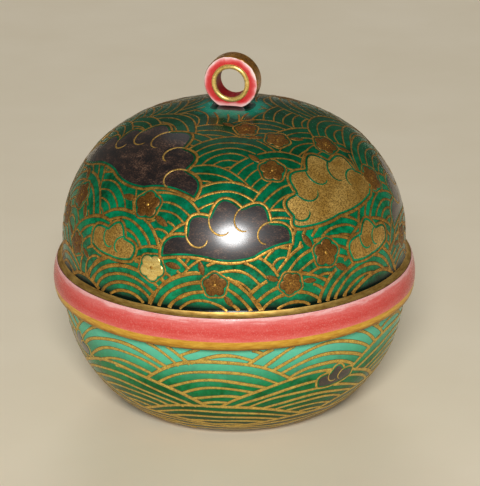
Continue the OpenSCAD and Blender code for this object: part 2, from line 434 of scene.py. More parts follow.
dome_green = enamel(
    "dome_green_enamel", (srgb(0, 64, 32), srgb(0, 146, 94), srgb(0, 148, 112)),
    low_shade=(srgb(0, 16, 8), dome_foot_z + 1.1, dome_foot_z - 0.4),
    top=(srgb(0, 44, 22), crown_z - 16.0, crown_z),
    coat=0.05, specular=0.2, rough=(0.18, 0.32), heart=(srgb(8, 150, 124), 7.1, 4.3))
# The bowl: painted shade low down, where its side turns away from the light, and a painted light band under
# the rim, which faces the light
bowl_green = enamel(
    "bowl_green_enamel", (srgb(6, 98, 44), srgb(26, 160, 94), srgb(50, 168, 118)),
    low_shade=(srgb(14, 50, 8), 17.7, 2.7), top=(srgb(112, 208, 178), rim_z - 8.0, rim_z),
    coat=0.0, specular=0.16, rough=(0.12, 0.24))
dome_gold = painted_gold("dome_line_gold", srgb(222, 170, 75), srgb(160, 114, 45), srgb(32, 22, 8),
                         worn=0.42, metallic=0.75)
bowl_gold = painted_gold("bowl_line_gold", srgb(226, 192, 88), srgb(192, 154, 62), srgb(96, 66, 22),
                         worn=0.25, metallic=0.3)
cloud_gold = gold_mass("cloud_gold", srgb(222, 180, 96), srgb(178, 134, 54), srgb(96, 70, 24), 0.66)
cloud_dark = dark_enamel("cloud_dark_enamel")
blossom_gold = gold_mass("blossom_gold", srgb(158, 110, 42), srgb(112, 72, 24), srgb(58, 34, 10), 0.6)
bright_gold = burnished_gold("bright_gold", srgb(240, 214, 132), srgb(216, 180, 92), (0.22, 0.38))
# The gold strip darkens towards its lower edge: painted shade
strip_gold = burnished_gold("strip_gold", srgb(244, 196, 78), srgb(210, 150, 42), (0.34, 0.48), 0.5,
                            (srgb(140, 90, 24), rim_z + 1.0, rim_z + 0.1))
cove_gold = burnished_gold("cove_gold", srgb(252, 214, 124), srgb(184, 138, 62), (0.5, 0.58), 1.0)
knob_gold = burnished_gold("knob_dark_gold", srgb(196, 134, 36), srgb(118, 74, 12), (0.24, 0.38))
# A dark glaze, used for the painted shadow along the seam and for the dark line on the ridge
dark_line = plain_glaze("dark_line", srgb(58, 18, 16), srgb(96, 34, 28), 0.8)
flange_coral = coral_glaze("flange_coral", rim_z + STRIP_H, ridge_z)
knob_coral = ring_coral("knob_coral")
bore_red = plain_glaze("bore_red", srgb(116, 4, 10), srgb(150, 12, 20), 1.0, 0.0, 0.2, (0.4, 0.5))
# Dark glaze round the knob's foot, darkest against the ring: thick glaze and painted shadow under the ring
pooled_shadow = plain_glaze("pooled_glaze", srgb(2, 12, 12), srgb(6, 32, 30), 1.2, 0.3, 0.4,
                     rim=(srgb(4, 84, 66), crown_z + 0.04, crown_z - 0.17))
inside_white = white_glaze("inside_white_glaze")
lip_clay = bare_clay("lip_clay", srgb(226, 212, 186), srgb(208, 190, 160))
foot_clay = bare_clay("foot_clay", srgb(206, 184, 150), srgb(176, 150, 116))


# Turned shells

# Waves that an unsteady border makes in one turn
WAVER_COUNTS = (2, 5, 9, 16, 27, 41)
# A radius below this lies on the axis
ON_AXIS = 1e-6


def arc(centre, radius, start, end, steps):
    """Points of an arc as (radius, height): angles in degrees, 0 straight out and 90 straight up."""
    a = np.radians(np.linspace(start, end, steps + 1))
    return np.stack([centre[0] + radius * np.cos(a), centre[1] + radius * np.sin(a)], 1)


def line(start, end, steps):
    return np.linspace(start, end, steps + 1)


def turns(count):
    """Angles evenly round a circle."""
    return np.linspace(0, 2 * math.pi, count, endpoint=False)


def waver(seed, size):
    """The unsteadiness of a hand-painted border: a shift in millimetres for each angle round the box."""
    draw = np.random.default_rng(seed)
    waves = [(n, draw.uniform(0.3, 1.0) / n ** 0.5, draw.uniform(0, 2 * math.pi)) for n in WAVER_COUNTS]
    total = sum(height for _, height, _ in waves)
    return lambda turn: size * sum(h * np.sin(n * turn + phase) for n, h, phase in waves) / total


def upright(radius, height, turn):
    """Turned about the box's own axis."""
    return np.stack([radius * np.cos(turn), radius * np.sin(turn), height], -1)


def on_edge(radius, height, turn):
    """Turned about the knob's bore, which runs along Y."""
    return np.stack([radius * np.cos(turn), height, knob_z + radius * np.sin(turn)], -1)


def linked(name, data):
    """A new object in the scene."""
    made = bpy.data.objects.new(name, data)
    bpy.context.scene.collection.objects.link(made)
    return made


def joined(one, two):
    """Faces between two rings of point numbers. A ring that repeats one point gives triangles."""
    corners = zip(one, one[1:] + one[:1], two[1:] + two[:1], two)
    return [list(dict.fromkeys(c)) for c in corners]


def mesh_piece(name, points, faces, finishes, sharp, zones=None):
    """A smooth-shaded mesh piece from points in millimetres, with its faces turned outwards.

    Edges bent by more than sharp degrees stay crisp. zones gives each face the number of its finish.
    """
    mesh = bpy.data.meshes.new(name)
    mesh.from_pydata((np.asarray(points) * MM).tolist(), [], faces)
    if zones is not None:
        mesh.polygons.foreach_set("material_index", zones)
    shape = bmesh.new()
    shape.from_mesh(mesh)
    bmesh.ops.recalc_face_normals(shape, faces=shape.faces)
    shape.to_mesh(mesh)
    shape.free()
    for finish in finishes:
        mesh.materials.append(finish)
    mesh.shade_smooth()
    mesh.set_sharp_from_angle(angle=math.radians(sharp))
    return linked(name, mesh)


def turned(name, runs, finishes, steps=240, axis=upright, wavers=None, settle=None):
    """A closed turned shell. runs are (points, finish number) that follow each other round the section.

    wavers shifts the border after a run along the section. A section off the axis closes on itself.
    """
    section, zones, shifts = [runs[0][0][0]], [], {}
    for number, (points, zone) in enumerate(runs):
        section.extend(points[1:])
        zones.extend([zone] * (len(points) - 1))
        if wavers and number in wavers:
            shifts[len(section) - 1] = wavers[number]
    section = np.array(section)
    if section[0][0] > ON_AXIS:
        section = section[:-1]
    turn = turns(steps)
    points, rows = [], []
    for k, (radius, height) in enumerate(section):
        if radius < ON_AXIS:
            rows.append([len(points)] * steps)
            points.append(axis(0.0, height, 0.0))
            continue
        shift = shifts[k](turn) if k in shifts else np.zeros(steps)
        along = section[(k + 1) % len(section)] - section[k - 1]
        along = along / np.linalg.norm(along)
        rows.append(list(range(len(points), len(points) + steps)))
        points.extend(axis(radius + shift * along[0], height + shift * along[1], turn))
    points = np.array(points)
    if settle:
        points = settle(points)
    faces, numbers = [], []
    for k, zone in enumerate(zones):
        faces += joined(rows[k], rows[(k + 1) % len(rows)])
        numbers += [zone] * steps
    return mesh_piece(name, points, faces, finishes, 40, numbers)


def shell(made, body, slot, *nodes):
    """Puts a finished piece on its body in place of its CAD nodes."""
    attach(made, body)
    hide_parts(*nodes)


shell(turned("foot_ring_turned", [
    (line((foot_in_r, foot_h), (foot_in_r, FOOT_BEVEL), 3), 0),
    (line((foot_in_r, FOOT_BEVEL), (foot_in_r + FOOT_BEVEL, 0), 1), 0),
    (line((foot_in_r + FOOT_BEVEL, 0), (foot_r - FOOT_BEVEL, 0), 6), 0),
    (line((foot_r - FOOT_BEVEL, 0), (foot_r, FOOT_BEVEL), 1), 0),
    (line((foot_r, FOOT_BEVEL), (foot_r, foot_h), 3), 0),
    (line((foot_r, foot_h), (foot_in_r, foot_h), 3), 0),
], [foot_clay], steps=180), "bowl", "pale_clay", "foot_ring")

shell(turned("bowl_shell", [
    (line((0, foot_h), (foot_in_r, foot_h), 16), 1),
    (line((foot_in_r, foot_h), (under_r, foot_h), 8), 2),
    (arc(heel_c, HEEL_R, foot_turn, heel_turn, 5), 0),
    (arc(side_c, side_r, heel_turn, 0, 60), 0),
    (arc((body_r - RIM_EDGE_R, side_z), RIM_EDGE_R, 0, 90, 6), 0),
    (line((body_r - RIM_EDGE_R, rim_z), (hollow_r, rim_z), 6), 2),
    (line((hollow_r, rim_z), (hollow_r, side_z), 1), 1),
    (arc(side_c, hollow_side_r, 0, hollow_turn, 30), 1),
    (arc(hollow_heel_c, HOLLOW_HEEL_R, hollow_turn, -90, 16), 1),
    (line((hollow_heel_c[0], FLOOR_T), (0, FLOOR_T), 12), 1),
], [bowl_green, inside_white, foot_clay], wavers={1: waver(3, 0.12)}), "bowl", "green_enamel", "bowl")

shell(turned("standing_lip_turned", [
    (line((hollow_r, rim_z), (lip_r, rim_z), 3), 0),
    (line((lip_r, rim_z), (lip_r, lip_top - LIP_EDGE_R), 6), 0),
    (arc((lip_r - LIP_EDGE_R, lip_top - LIP_EDGE_R), LIP_EDGE_R, 0, 90, 6), 0),
    (line((lip_r - LIP_EDGE_R, lip_top), (hollow_r + LIP_EDGE_R, lip_top), 2), 0),
    (arc((hollow_r + LIP_EDGE_R, lip_top - LIP_EDGE_R), LIP_EDGE_R, 90, 180, 6), 1),
    (line((hollow_r, lip_top - LIP_EDGE_R), (hollow_r, rim_z), 6), 1),
], [lip_clay, inside_white], wavers={3: waver(5, 0.1)}), "bowl", "pale_clay", "standing_lip")

shell(turned("lid_flange_turned", [
    (line((flange_in_r, rim_z), (low_edge_c[0] - SHADOW_SEAM_W, rim_z), 5), 3),
    # Painted shadow: the flange's underside and lower rounding in the dark glaze, where the lid overhangs
    # the bowl
    (line((low_edge_c[0] - SHADOW_SEAM_W, rim_z), (low_edge_c[0], rim_z), 1), 4),
    (arc(low_edge_c, FLANGE_EDGE_R, -90, SHADOW_SEAM_TURN, 4), 4),
    (arc(low_edge_c, FLANGE_EDGE_R, SHADOW_SEAM_TURN, low_turn, 4), 1),
    (arc(roll_c, ROLL_R, low_turn, strip_turn, 6), 1),
    (arc(roll_c, ROLL_R, strip_turn, top_turn, 14), 0),
    (arc(ridge_c, RIDGE_R, top_turn, LINE_LOW, 4), 0),
    (arc(ridge_c, RIDGE_R, LINE_LOW, LINE_HIGH, 2), 4),
    (arc(ridge_c, RIDGE_R, LINE_HIGH, ridge_turn, 2), 2),
    (arc(cove_c, cove_r, ridge_turn - 180, ENAMEL_TURN, 6), 2),
    (arc(cove_c, cove_r, ENAMEL_TURN, -180, 8), 6),
    (line((body_r, dome_foot_z), (dome_in_r, dome_foot_z), 3), 3),
    (line((dome_in_r, dome_foot_z), (dome_in_r, ledge_z), 4), 5),
    (line((dome_in_r, ledge_z), (flange_in_r, ledge_z), 3), 3),
    (line((flange_in_r, ledge_z), (flange_in_r, rim_z), 6), 3),
], [flange_coral, strip_gold, cove_gold, lip_clay, dark_line, inside_white, dome_green], steps=288,
    wavers={0: waver(7, 0.15), 4: waver(8, 0.09), 6: waver(9, 0.05), 7: waver(9, 0.05), 9: waver(10, 0.08)}),
    "lid", "coral_glaze", "lid_flange")

shell(turned("lid_dome_shell", [
    (arc(crown_c, CROWN_R, 90, shoulder_turn, 44), 0),
    (arc(shoulder_c, shoulder_r, shoulder_turn, 0, 60), 0),
    (line((body_r, shoulder_z), (body_r, dome_foot_z), 6), 0),
    (line((body_r, dome_foot_z), (dome_in_r, dome_foot_z), 3), 1),
    (line((dome_in_r, dome_foot_z), (dome_in_r, shoulder_z), 4), 1),
    (arc(shoulder_c, shoulder_r - DOME_WALL, 0, shoulder_turn, 30), 1),
    (arc(crown_c, CROWN_R - DOME_WALL, shoulder_turn, 90, 16), 1),
], [dome_green, inside_white]), "lid", "green_enamel", "lid_dome")

# How far the knob and its pooled glaze reach into the crown
SUNK = 0.15


def crown_height(points):
    """Height of the crown's surface at points near the axis."""
    return crown_c[1] + np.sqrt(CROWN_R ** 2 - points[:, 0] ** 2 - points[:, 1] ** 2)


def stand_on_crown(points):
    """Brings what would reach far into the crown up to just under its surface."""
    points[:, 2] = np.maximum(points[:, 2], crown_height(points) - SUNK)
    return points


half, edge = knob_half_w, KNOB_EDGE_R
# Angle on the ring's rounded edges where the coral gives way to gold
GILT_TURN = 55
shell(turned("knob_ring_turned", [
    (line((KNOB_BORE_R, -half), (KNOB_BORE_R, half), 10), 0),
    (line((KNOB_BORE_R, half), (knob_r - edge, half), 10), 1),
    (arc((knob_r - edge, half - edge), edge, 90, GILT_TURN, 3), 1),
    (arc((knob_r - edge, half - edge), edge, GILT_TURN, 0, 4), 2),
    (line((knob_r, half - edge), (knob_r, edge - half), 10), 2),
    (arc((knob_r - edge, edge - half), edge, 0, -GILT_TURN, 4), 2),
    (arc((knob_r - edge, edge - half), edge, -GILT_TURN, -90, 3), 1),
    (line((knob_r - edge, -half), (KNOB_BORE_R, -half), 10), 1),
], [bore_red, knob_coral, knob_gold], steps=144, axis=on_edge, settle=stand_on_crown,
    wavers={2: waver(12, 0.14), 5: waver(13, 0.14)}), "lid", "dark_gold", "knob_ring")

bead_mid_r = KNOB_BORE_R + BEAD_R
for bead, sign in (("front", -1), ("rear", 1)):
    shell(turned("knob_bead_%s_round" % bead, [
        (line((bead_mid_r + BEAD_R, sign * half), (bead_mid_r - BEAD_R, sign * half), 3), 0),
        (arc((bead_mid_r, sign * half), BEAD_R, 180, 180 - sign * 180, 14), 0),
    ], [bright_gold], steps=120, axis=on_edge), "lid", "bright_gold", "knob_bead_" + bead)

# Glaze gathered round the knob's foot on a rounded oblong: thick against the ring, thin further out. Its
# dark tone against the ring is partly that thick glaze and partly painted shadow under the ring.
POOL_STEPS, POOL_ROWS = 144, 14
POOL_IN, POOL_OUT, POOL_H, POOL_FALL = 0.9, 1.35, 0.42, 0.55
POOL_SNUG = 0.98
foot_half_x = math.sqrt(knob_r ** 2 - (knob_z - crown_z - POOL_H) ** 2)
turn = turns(POOL_STEPS)
oblong = np.stack([np.sign(f) * np.abs(f) ** 0.5 for f in (np.cos(turn), np.sin(turn))], 1)
spread_out = POOL_OUT + waver(15, 0.3)(turn)
pool_points = []
for row in range(POOL_ROWS + 1):
    share = row / POOL_ROWS
    out = -POOL_IN + (spread_out + POOL_IN) * share
    flat = oblong * POOL_SNUG * np.stack([foot_half_x + out, half + out], 1)
    rise = POOL_H * np.exp(-np.maximum(out, 0.0) / POOL_FALL) * (1 - share ** 4)
    pool_points.append(np.column_stack([flat, crown_height(flat) + rise]))
pool_points.append(pool_points[-1] - (0, 0, SUNK))
pool_rings = [list(range(k * POOL_STEPS, (k + 1) * POOL_STEPS)) for k in range(len(pool_points))]
pool_faces = [face for one, two in zip(pool_rings, pool_rings[1:]) for face in joined(one, two)]
pool_faces += [pool_rings[0][::-1], pool_rings[-1]]
shell(mesh_piece("knob_foot_pool", np.concatenate(pool_points), pool_faces, [pooled_shadow], 50),
      "lid", "pooled_glaze", "knob_fillet")


# Painting on the walls

# Rounds that bring spread points to their distance from a spot
SEAT_ROUNDS = 4
# A point this close to a motif is measured to its outline
NEAR_MOTIF = 1.0
# A painted area's lift off the wall, its swell inside its border and the way for that, and its root's depth
PAINT_LIFT, PAINT_SWELL, SWELL_WAY, PAINT_SUNK = 0.03, 0.03, 0.5, 0.12
# Grid step inside a painted area, and step along an outline
PATCH_STEP, OUTLINE_STEP = 0.7, 0.35
# Corners of a brushed line's section, and the share by which its width swells and thins
BRUSH_CORNERS, BRUSH_SWELL = 8, 0.12
# Heights of lines and curls over the wall, as shares of their half widths
LINE_RISE, CURL_RISE = 0.16, 0.55


def way(degrees):
    """The flat direction at that angle."""
    return np.array([math.cos(math.radians(degrees)), math.sin(math.radians(degrees))])


def loop(radius, angles):
    """A closed ring of flat points."""
    return np.stack([radius * np.cos(angles), radius * np.sin(angles)], 1)


class Wall:
    """An outside wall made of arcs that paint is seated on.

    An arc is its centre, its radius, and the lowest and highest angle of the way out of the wall. A hollow
    arc's radius is below 0.
    """

    def __init__(self, *arcs):
        self.arcs = [(c, r, math.radians(low), math.radians(high)) for c, r, low, high in arcs]

    def seat(self, points):
        """The wall's nearest points, and the directions out of it there."""
        around = np.hypot(points[:, 0], points[:, 1])
        best = np.full(len(points), np.inf)
        radius, height, tilt = np.zeros((3, len(points)))
        for centre, r, low, high in self.arcs:
            side = math.copysign(1, r)
            a = np.arctan2(side * (points[:, 2] - centre[1]), side * (around - centre[0]))
            a = np.clip(a, low, high)
            near_r, near_z = centre[0] + r * np.cos(a), centre[1] + r * np.sin(a)
            gap = np.hypot(near_r - around, near_z - points[:, 2])
            closer = gap < best
            for kept, new in ((best, gap), (radius, near_r), (height, near_z), (tilt, a)):
                kept[closer] = new[closer]
        level = points[:, :2] / np.maximum(around, 1e-9)[:, None]
        return (np.column_stack([level * radius[:, None], height]),
                np.column_stack([level * np.cos(tilt)[:, None], np.sin(tilt)]))

    def at(self, turn, run):
        """The point that lies run millimetres down the section from its top, on the side that faces turn."""
        for centre, r, low, high in self.arcs:
            a = max(high - run / r, low)
            run -= r * (high - low)
            if run <= 0:
                break
        past = max(run, 0.0)
        radius = centre[0] + r * math.cos(a) + past * math.sin(a)
        height = centre[1] + r * math.sin(a) - past * math.cos(a)
        return np.array([radius * math.cos(turn), radius * math.sin(turn), height])


class Spot:
    """A place on a wall with its own sideways and upward directions, turned by lean degrees.

    With a path the place is run millimetres along that, which may leave the wall past its lower edge.
    """

    def __init__(self, wall, turn, run, lean=0.0, path=None):
        self.wall = wall
        self.point = (path or wall).at(turn, run)
        out = wall.seat(self.point[None])[1][0]
        side = np.array([-math.sin(turn), math.cos(turn), 0.0])
        up = np.cross(out, side)
        c, s = way(lean)
        self.side, self.up = c * side + s * up, c * up - s * side

    def spread(self, flat):
        """Lays flat points on the wall, each at its own distance from the spot."""
        flat = np.asarray(flat, float)
        reach = np.linalg.norm(flat, axis=1)
        points = self.point + flat[:, :1] * self.side + flat[:, 1:2] * self.up
        for _ in range(SEAT_ROUNDS):
            seated, _ = self.wall.seat(points)
            away = seated - self.point
            points = self.point + away * (reach / np.maximum(np.linalg.norm(away, axis=1), 1e-9))[:, None]
        return self.wall.seat(points)

    def measure(self, points):
        """The flat place of points on the wall, the other way round from spread."""
        away = points - self.point
        flat = np.stack([away @ self.side, away @ self.up], 1)
        reach = np.linalg.norm(away, axis=1) / np.maximum(np.linalg.norm(flat, axis=1), 1e-9)
        return flat * reach[:, None]


def outside_of(outline, flat):
    """Distance from each flat point to a closed outline, negative inside it."""
    a, b = outline, np.roll(outline, -1, axis=0)
    ab = b - a
    ap = flat[:, None, :] - a[None]
    share = np.clip((ap * ab).sum(2) / np.maximum((ab ** 2).sum(1), 1e-12), 0, 1)
    gap = np.linalg.norm(ap - share[..., None] * ab, axis=2).min(1)
    above = (a[None, :, 1] > flat[:, 1:2]) != (b[None, :, 1] > flat[:, 1:2])
    cross = a[:, 0] + (flat[:, 1:2] - a[:, 1]) * ab[:, 0] / np.where(ab[:, 1] == 0, 1e-12, ab[:, 1])
    inside = (above & (flat[:, :1] < cross)).sum(1) % 2 == 1
    return np.where(inside, -gap, gap)


class Motif:
    """A painted shape: a closed outline on the wall, which the waves stop at."""

    def __init__(self, spot, outline, gap=0.0):
        self.spot, self.gap = spot, gap
        self.reach = np.linalg.norm(outline, axis=1).max() + gap
        self.seen = spot.measure(spot.spread(outline)[0])

    def margin(self, points):
        """How far points lie outside the shape and the gap round it."""
        far = np.linalg.norm(points - self.spot.point, axis=1) - self.reach
        near = far < NEAR_MOTIF
        if near.any():
            far[near] = outside_of(self.seen, self.spot.measure(points[near])) - self.gap
        return far


def visible_runs(points, margin):
    """The stretches of a line where margin is above 0, each ended where it crosses 0."""
    shown = margin > 0
    runs, run = [], []
    for i in range(len(points)):
        if i and shown[i] != shown[i - 1]:
            share = margin[i - 1] / (margin[i - 1] - margin[i])
            run.append(points[i - 1] + share * (points[i] - points[i - 1]))
            if not shown[i]:
                runs.append(np.array(run))
                run = []
        if shown[i]:
            run.append(points[i])
    if run:
        runs.append(np.array(run))
    return [r for r in runs if len(r) >= 3]


class GrowingTree(Nodes):
    """A geometry tree with inputs of its own, which gives all that it makes one paint."""

    def __init__(self, name, **inputs):
        super().__init__(bpy.data.node_groups.new(name, "GeometryNodeTree"))
        self.keys = {}
        for label, kind in {"Geometry": "Geometry", **inputs, "Paint": "Material"}.items():
            socket = self.tree.interface.new_socket(label, in_out="INPUT", socket_type="NodeSocket" + kind)
            self.keys[label] = socket.identifier
        self.tree.interface.new_socket("Geometry", in_out="OUTPUT", socket_type="NodeSocketGeometry")
        self.given = self.node("NodeGroupInput").outputs

    def mark(self, name, kind="FLOAT_VECTOR"):
        """What the points carry under that name."""
        return self.node("GeometryNodeInputNamedAttribute", {"Name": name}, data_type=kind).outputs[0]

    def end(self, made):
        """Paints what was made and gives it out."""
        real = self.node("GeometryNodeRealizeInstances", {"Geometry": made}).outputs["Geometry"]
        painted = self.node("GeometryNodeSetMaterial", {"Geometry": real, "Material": self.given["Paint"]})
        self.node("NodeGroupOutput", {"Geometry": painted.outputs["Geometry"]})

    def grow(self, name, source, **settings):
        """Runs the tree on source and keeps what it makes, in source's place, as a plain mesh."""
        modifier = source.modifiers.new("grown", "NODES")
        modifier.node_group = self.tree
        for label, value in settings.items():
            modifier[self.keys[label]] = value
        bpy.context.view_layer.update()
        graph = bpy.context.evaluated_depsgraph_get()
        mesh = bpy.data.meshes.new_from_object(
            source.evaluated_get(graph), preserve_all_data_layers=True, depsgraph=graph)
        mesh.name = name
        source.modifiers.remove(modifier)
        bpy.data.objects.remove(source)
        return linked(name, mesh)


def brush_strokes():
    """Sweeps a flattened round along each painted line, as wide as the line says at each point."""
    t = GrowingTree("brush_strokes", Rise="Float")
    paths = t.node("GeometryNodeMeshToCurve", {"Mesh": t.given["Geometry"]}).outputs["Curve"]
    outward = t.node("GeometryNodeSetCurveNormal", {
        "Curve": paths, "Normal": t.mark("stroke_out"),
    }, mode="FREE")
    circle = t.node("GeometryNodeCurvePrimitiveCircle", {"Resolution": BRUSH_CORNERS, "Radius": 1.0})
    place = t.node("GeometryNodeInputPosition").outputs[0]
    across = t.node("ShaderNodeSeparateXYZ", {0: place}).outputs["Y"]
    wide = t.node("ShaderNodeMath", {0: across}, operation="ABSOLUTE").outputs["Value"]
    named = t.node("GeometryNodeStoreNamedAttribute", {
        "Geometry": circle.outputs["Curve"], "Name": "brush_edge", "Value": wide,
    }, data_type="FLOAT", domain="POINT")
    squash = t.node("ShaderNodeCombineXYZ", {"X": t.given["Rise"], "Y": 1.0, "Z": 1.0})
    flat = t.node("GeometryNodeTransform", {
        "Geometry": named.outputs["Geometry"], "Scale": squash.outputs["Vector"],
    })
    swept = t.node("GeometryNodeCurveToMesh", {
        "Curve": outward.outputs["Curve"], "Profile Curve": flat.outputs["Geometry"],
        "Scale": t.mark("stroke_half", "FLOAT"), "Fill Caps": True,
    })
    smooth = t.node("GeometryNodeSetShadeSmooth", {"Geometry": swept.outputs["Mesh"], "Shade Smooth": True})
    t.end(smooth.outputs["Geometry"])
    return t


def scattered_dabs():
    """Sets one raised dab on each point, turned to lie on the wall, as large as the point says."""
    t = GrowingTree("scattered_dabs", Dab="Object")
    stand = t.node("FunctionNodeAlignRotationToVector", {"Vector": t.mark("dab_out")}, axis="Z")
    ahead = t.node("FunctionNodeAlignRotationToVector", {
        "Rotation": stand.outputs["Rotation"], "Vector": t.mark("dab_ahead"),
    }, axis="X", pivot_axis="Z")
    shape = t.node("GeometryNodeObjectInfo", {"Object": t.given["Dab"]})
    points = t.node("GeometryNodeMeshToPoints", {"Mesh": t.given["Geometry"]})
    placed = t.node("GeometryNodeInstanceOnPoints", {
        "Points": points.outputs["Points"], "Instance": shape.outputs["Geometry"],
        "Rotation": ahead.outputs["Rotation"], "Scale": t.mark("dab_size"),
    })
    t.end(placed.outputs["Instances"])
    return t


brush_tree = brush_strokes()
dab_tree = scattered_dabs()


def carrier(name, points, edges, **marks):
    """An object whose points, in millimetres, carry numbers or vectors for a tree to read."""
    mesh = bpy.data.meshes.new(name)
    mesh.from_pydata((np.array(points) * MM).tolist(), edges, [])
    for label, values in marks.items():
        values = np.array(values, np.float32)
        kind, field = ("FLOAT_VECTOR", "vector") if values.ndim == 2 else ("FLOAT", "value")
        mesh.attributes.new(label, kind, "POINT").data.foreach_set(field, values.ravel())
    return linked(name, mesh)


class Brush:
    """Painted lines collected for one piece: points, directions out of the wall and half widths."""

    def __init__(self, wall, seed):
        self.wall, self.draw = wall, np.random.default_rng(seed)
        self.points, self.out, self.half, self.edges = [], [], [], []

    def stroke(self, points, width, closed=False, taper=0.0):
        """Adds one line, with a width that swells and thins a little, and ends that taper by that share."""
        seated, out = self.wall.seat(points)
        count = len(points)
        along = np.linspace(0, 1, count)
        phase = self.draw.uniform(0.6, 1.6) * along + self.draw.uniform()
        swell = 1 + BRUSH_SWELL * np.sin(2 * math.pi * phase)
        if taper:
            swell *= 1 - taper * np.abs(2 * along - 1) ** 3
        first = sum(len(p) for p in self.points)
        self.points.append(seated)
        self.out.append(out)
        self.half.append(width / 2 * swell)
        self.edges += [(first + i, first + i + 1) for i in range(count - 1)]
        if closed:
            self.edges.append((first + count - 1, first))

    def made(self, name, finish, rise):
        """The strokes as one plain mesh, swept by the brush tree."""
        source = carrier(name + "_paths", np.concatenate(self.points), self.edges,
                         stroke_out=np.concatenate(self.out), stroke_half=np.concatenate(self.half) * MM)
        return brush_tree.grow(name, source, Rise=rise, Paint=finish)


class Patches:
    """Thin painted areas collected for one piece."""

    def __init__(self):
        self.points, self.faces, self.count = [], [], 0

    def fill(self, spot, outline):
        """Covers a flat outline with a closed patch that follows the wall and swells in from its border."""
        low, high = outline.min(0), outline.max(0)
        grid = np.meshgrid(np.arange(low[0], high[0], PATCH_STEP), np.arange(low[1], high[1], PATCH_STEP))
        grid = np.stack(grid, -1)
        grid[1::2, :, 0] += PATCH_STEP / 2
        grid = grid.reshape(-1, 2)
        grid = grid[outside_of(outline, grid) < -0.45 * PATCH_STEP]
        ring = [(i, (i + 1) % len(outline)) for i in range(len(outline))]
        corners = [Vector(p) for p in np.concatenate([outline, grid])]
        found = geometry.delaunay_2d_cdt(corners, ring, [], 1, 1e-5)
        flat = np.array([list(v) for v in found[0]])
        triangles = [list(f) for f in found[2]]
        depth = np.maximum(-outside_of(outline, flat), 0.0)
        seated, out = spot.spread(flat)
        rise = PAINT_LIFT + PAINT_SWELL * (1 - np.exp(-depth / SWELL_WAY))
        top, base = self.count, self.count + len(flat)
        sides = [side for a, b, c in triangles for side in ((a, b), (b, c), (c, a))]
        paired = set(sides)
        self.points += [seated + out * rise[:, None], seated - out * PAINT_SUNK]
        self.faces += [[top + i for i in t] for t in triangles]
        self.faces += [[base + i for i in reversed(t)] for t in triangles]
        self.faces += [[top + b, top + a, base + a, base + b] for a, b in sides if (b, a) not in paired]
        self.count += 2 * len(flat)

    def made(self, name, finish):
        """The areas as one mesh."""
        return mesh_piece(name, np.concatenate(self.points), self.faces, [finish], 60)


class Dabs:
    """Small raised dabs collected for one piece."""

    def __init__(self):
        self.points, self.out, self.ahead, self.size = [], [], [], []

    def dab(self, spot, flat, heading, length, width, thick):
        """One dab at a flat place by the spot, pointing along heading degrees."""
        ends, out = spot.spread([flat, flat + 0.2 * way(heading)])
        self.points.append(ends[0])
        self.out.append(out[0])
        self.ahead.append(ends[1] - ends[0])
        self.size.append((length, width, thick))

    def made(self, name, shape, finish):
        """The dabs as one plain mesh, set out by the dab tree."""
        source = carrier(name + "_places", self.points, [], dab_out=self.out, dab_ahead=self.ahead,
                         dab_size=np.array(self.size) * MM)
        return dab_tree.grow(name, source, Dab=shape, Paint=finish)


def dab_shape(name, blunt):
    """A low rounded dab one unit long and wide from its middle: a petal, or a leaf where it isn't blunt."""
    rings, steps, root = 4, 14, -0.9
    points = [(0.0, 0.0, 1.0)]
    for ring in range(1, rings + 1):
        share = ring / rings
        for k in range(steps):
            a = 2 * math.pi * k / steps
            narrow = 1.0 if blunt else abs(math.sin(a)) ** 0.5
            points.append((share * math.cos(a), share * math.sin(a) * narrow, 1 - share ** 2.2))
    points += [(x, y, root) for x, y, _ in points[-steps:]]
    faces = [[0, 1 + k, 1 + (k + 1) % steps] for k in range(steps)]
    for ring in range(rings):
        one, two = 1 + ring * steps, 1 + (ring + 1) * steps
        faces += [[one + k, two + k, two + (k + 1) % steps, one + (k + 1) % steps] for k in range(steps)]
    faces.append([1 + rings * steps + k for k in range(steps)][::-1])
    mesh = bpy.data.meshes.new(name)
    mesh.from_pydata(points, [], faces)
    mesh.shade_smooth()
    return linked(name, mesh)


# Clouds, as corners (x, y, bulge), where bulge bows the way to the next corner outwards

LONG_CLOUD = [
    (-18.5, -2.0, 0.05), (-9.0, -4.0, -0.06), (-0.5, -4.4, 0.10), (8.5, -5.2, -0.08), (18.0, -2.6, 0.30),
    (13.4, 1.6, 0.36), (9.2, 5.4, 0.40), (3.0, 7.6, 0.38), (-2.8, 5.6, 0.36), (-6.6, 2.4, 0.34),
    (-11.4, 1.0, 0.20),
]
SHORT_CLOUD = [
    (-11.5, -3.2, -0.05), (-3.0, -4.0, 0.08), (5.0, -4.2, -0.06), (11.5, -2.0, 0.32), (8.0, 2.0, 0.40),
    (3.2, 4.7, 0.42), (-2.4, 3.6, 0.38), (-6.6, 0.7, 0.32),
]
ROUND_CLOUD = [
    (-9.0, -3.9, 0.06), (-0.8, -5.0, 0.06), (8.6, -4.2, 0.38), (8.4, 1.2, 0.42), (3.9, 4.7, 0.44),
    (-1.8, 5.1, 0.42), (-6.5, 2.1, 0.40), (-9.4, -1.3, 0.36),
]
PUFF = [(-5.0, -1.9, 0.06), (0.2, -2.6, 0.06), (5.2, -1.7, 0.42), (2.9, 1.9, 0.46), (-1.7, 2.4, 0.42)]

# Gap from a cloud's outline to the waves
CLOUD_GAP = 0.15
# Curls go on from scallops that bow at least this much
CURL_BULGE, CURL_STEPS, CURL_TAPER = 0.3, 26, 0.5
# A curl's length, and its radius at first and at the end, as shares of the scallop's width
CURL_LENGTH, FIRST_BEND, LAST_BEND = 1.15, 0.62, 0.18


